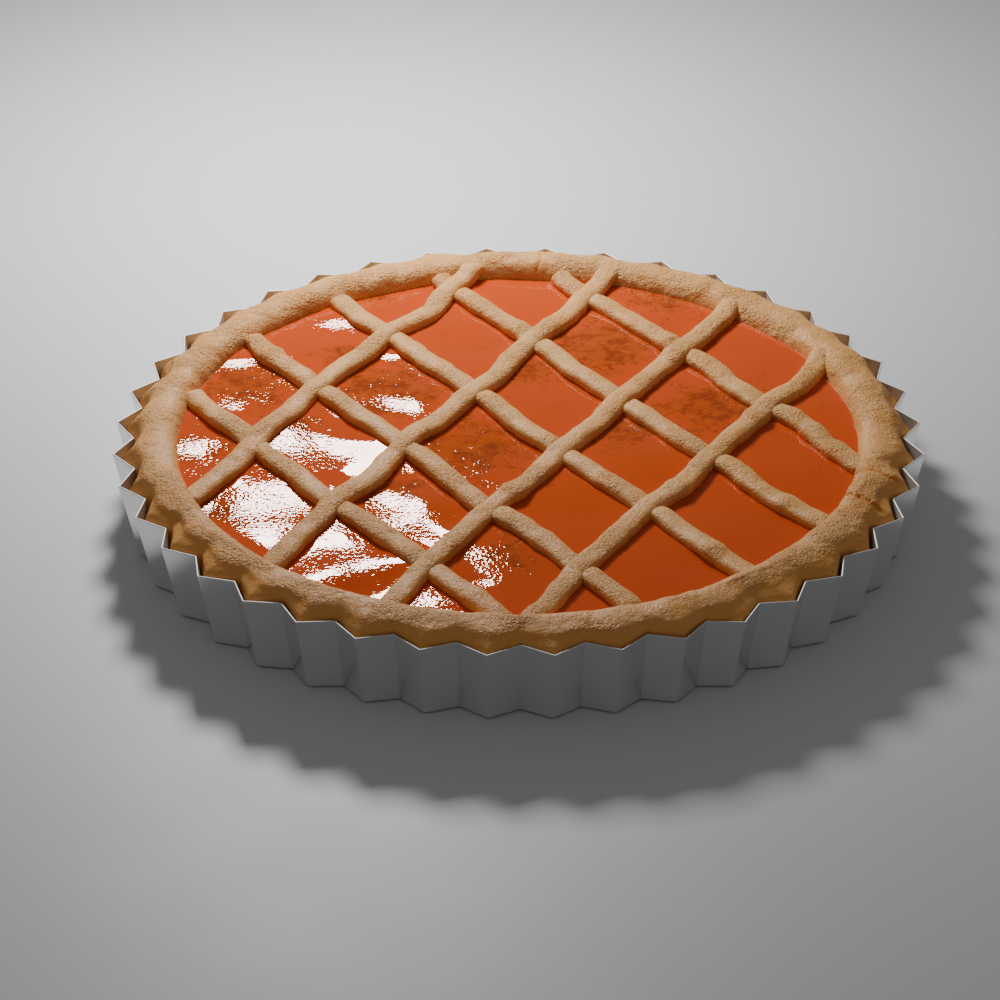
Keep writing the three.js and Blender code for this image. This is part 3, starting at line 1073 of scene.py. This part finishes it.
bpy.ops.object.select_all(action="DESELECT")
bpy.ops.mesh.primitive_grid_add(x_subdivisions=JAM_CELLS, y_subdivisions=JAM_CELLS,
                                size=2 * (JAM_RADIUS + 1) * MM, location=(0, 0, JAM_LEVEL * MM))
jam = bpy.context.object
jam.name = "jam_filling_set"
bpy.ops.object.transform_apply(location=True)
cell = 2 * (JAM_RADIUS + 1) / JAM_CELLS
edit(jam)
pick(jam, lambda face: radius_of(face.calc_center_median()) > JAM_RADIUS, "FACE")
bpy.ops.mesh.delete(type="FACE")
leave_edit()
spots = places(jam)
radius = np.hypot(spots[:, 0], spots[:, 1])
outermost = radius > JAM_RADIUS - RAGGED_EDGE * cell
spots[outermost, :2] *= (JAM_RADIUS / radius[outermost])[:, None]
move_to(jam, spots)
report(jam)


# %% Waves and clinging edges
CLING = {"height": 0.15, "width": 1.4}
JAM_EDGE_RADIUS = 117.6  # where the jam meets the foot of the roll
WAVES = {"spacing": 15, "height": 1.5, "seed": 766}
NET_HALF = 140  # the net of waves reaches this far from the axis
SEARCH_STEP = 1.5
LEANS = [  # (x, y, half width in mm, slope towards +X, slope towards +Y)
    (-85, -37, 13, 0.0, 0.055), (-38, -43, 8, 0.11, 0.05), (-62, -67, 6, 0.05, 0.035),
    (-58, -4, 10, 0.07, 0.09), (-40, 25, 8, 0.1, 0.11), (-99, 54, 6, -0.03, 0.13),
    (-66, 83, 8, 0.036, 0.16), (-111, -4, 8, -0.06, 0.08), (-45, 59, 5, 0.1, 0.14),
    (-58, -96, 14, -0.13, 0.15), (-88, -72, 11, -0.16, -0.09), (-36, -74, 12, -0.1, -0.17),
    (-100, -20, 8, 0.08, -0.06), (-90, 12, 13, 0.12, -0.08), (-62, -42, 6, 0.02, -0.1),
    (-20, -100, 9, -0.06, -0.1), (-108, -45, 7, -0.12, 0.0), (-60, -28, 8, -0.08, -0.08),
    (-22, -58, 8, -0.06, -0.12),
]


def distance_to_strips(spots):
    """Distance in millimetres from each (x, y) point to the side of the nearest strip."""
    nearest = np.full(len(spots), JAM_RADIUS)
    for line in TOP_LINES + UNDER_LINES:
        for x, y in line_points(line, np.arange(0, line_length(line), SEARCH_STEP)):
            nearest = np.minimum(nearest, np.hypot(spots[:, 0] - x, spots[:, 1] - y))
    return np.maximum(nearest - DOUGH["width"] / 2, 0)


def swell(spots, spacing, height, seed):
    """Smooth random waves: a coarse net of random heights, blended as a bicubic spline."""
    count = math.ceil(2 * NET_HALF / spacing) + 4
    net = height * (np.random.default_rng(seed).random((count, count)) - 0.5)
    steps = (spots[:, :2] + NET_HALF) / spacing
    corner = np.floor(steps).astype(int)
    t = steps - corner
    inner = 3 * t**3 - 6 * t**2 + 4
    outer = -3 * t**3 + 3 * t**2 + 3 * t + 1
    shares = np.stack([(1 - t) ** 3, inner, outer, t**3]) / 6
    total = np.zeros(len(spots))
    for i in range(4):
        for j in range(4):
            total += shares[i][:, 0] * shares[j][:, 1] * net[corner[:, 0] + i, corner[:, 1] + j]
    return total


def leaning(spots, leans):
    """Places where the skin set at a slope, which dies away round them."""
    total = np.zeros(len(spots))
    for x, y, half_width, slope_x, slope_y in leans:
        east, north = spots[:, 0] - x, spots[:, 1] - y
        total += (slope_x * east + slope_y * north) * hump(np.hypot(east, north), half_width)
    return total


# %% Shape the jam's top
spots = places(jam)
spots[:, 2] += swell(spots, **WAVES) + leaning(spots, LEANS)
waves = spots[:, 2] - JAM_LEVEL
print(f"waves: {waves.min():.2f} to {waves.max():.2f} mm")
edge_radius = JAM_EDGE_RADIUS + around(RIM_DRIFT, turn_of(spots))
rim_gap = np.maximum(edge_radius - np.hypot(spots[:, 0], spots[:, 1]), 0)
gap = np.minimum(rim_gap, distance_to_strips(spots))
spots[:, 2] += CLING["height"] * np.exp(-gap / CLING["width"])
move_to(jam, spots)

# %% Close the jam
edit(jam)
bpy.ops.mesh.select_mode(type="VERT")
bpy.ops.mesh.select_all(action="DESELECT")
bpy.ops.mesh.select_non_manifold()
bpy.ops.mesh.extrude_region_move()
foot_scale = JAM_FOOT / JAM_RADIUS
bpy.ops.transform.resize(value=(foot_scale, foot_scale, 0), center_override=(0, 0, JAM_FLOOR * MM))
bpy.ops.mesh.edge_face_add()
bpy.ops.mesh.select_all(action="SELECT")
bpy.ops.mesh.normals_make_consistent(inside=False)
leave_edit()
smooth(jam, 60)
report(jam)

# %% [markdown]
# Jam is deep orange and very glossy. Where its skin wrinkled while it cooled, the gloss breaks up
# into sparkles. In other places it set smooth as glass. Where it is clear and deep it looks amber,
# and where it is full of fruit pulp it is a lighter salmon orange. Both are stored on the mesh as
# soft patches, and the material breaks up their borders with cloudy noise.

# %% Skin and pulp of the jam
WRINKLED = [  # (x, y, half width) in mm
    (-92, 45, 24), (-42, 34, 26), (-84, -8, 26), (-16, -12, 24), (-108, -8, 16), (-84, -46, 28),
    (-40, -52, 24), (-60, -80, 22), (-4, -76, 15), (-27, -104, 16), (-66, 82, 18), (-45, 104, 12),
    (30, 66, 13), (66, 26, 20), (54, 104, 15), (42, 0, 15), (2, 46, 9),
]
AMBER = [
    (-96, 40, 19), (-46, 34, 22), (-84, 2, 17), (-17, -6, 21), (31, 66, 22), (3, 50, 11), (70, 22, 18),
    (56, 104, 15), (-96, -46, 13), (-60, 60, 10), (36, 6, 12), (-54, 106, 9), (-112, -6, 9),
    (-44, -34, 12), (-4, -76, 9),
]


def patchy(spots, patches):
    """1 in the middle of a patch, 0 between patches."""
    cover = np.zeros(len(spots))
    for x, y, half_width in patches:
        cover = np.maximum(cover, hump(np.hypot(spots[:, 0] - x, spots[:, 1] - y), half_width))
    return cover


paint(jam, "wrinkled", patchy(places(jam), WRINKLED))
paint(jam, "amber", patchy(places(jam), AMBER))

# %% Jam material
PULPY_JAM = (0.74, 0.092, 0.014, 1)
AMBER_JAM = (0.60, 0.095, 0.009, 1)
CLEAR_JAM = (0.36, 0.055, 0.009, 1)

jelly, jelly_shader = new_material("apricot_jam", IOR=1.5, Roughness=0.03)
jelly_shader.inputs["Specular Tint"].default_value = (1.0, 0.5, 0.35, 1)


def frayed(name, *patterns):
    """A stored patch whose border is moved in and out by cloudy patterns."""
    total = attribute(jelly, name)
    for pattern in patterns:
        total = calc(jelly, "ADD", total, between(jelly, pattern, 0.3, 0.7, -0.3, 0.3))
    return total


broad = noise(jelly, grain=9.0, detail=4.0, roughness=0.6)
ragged = noise(jelly, grain=1.1, detail=3.0, roughness=0.65)
amber_share = between(jelly, frayed("amber", broad, ragged), 0.25, 0.85)
depth_share = between(jelly, noise(jelly, grain=5.0, detail=4.0, roughness=0.65), 0.4, 0.62)
clear = blend(jelly, depth_share, AMBER_JAM, CLEAR_JAM)
fill(jelly, jelly_shader.inputs["Base Color"], blend(jelly, amber_share, PULPY_JAM, clear))

# %% Wrinkles of the jam's skin
WRINKLE_DEPTH = 0.1
SMOOTHEST = 0.08  # the share of the wrinkles that is left where the skin is smooth

drift = noise(jelly, grain=9.0, detail=1.0)
wrinkle_share = between(jelly, frayed("wrinkled", drift), 0.2, 0.8, SMOOTHEST, 1.0)
wrinkles = noise(jelly, grain=1.2, detail=0.0, distortion=0.4)
ripple = calc(jelly, "MULTIPLY", calc(jelly, "SUBTRACT", wrinkles, 0.5), wrinkle_share)
fill(jelly, jelly_shader.inputs["Normal"], bump(jelly, ripple, WRINKLE_DEPTH))
jam.data.materials.append(jelly)
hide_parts("jam_filling")
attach(jam, "root")
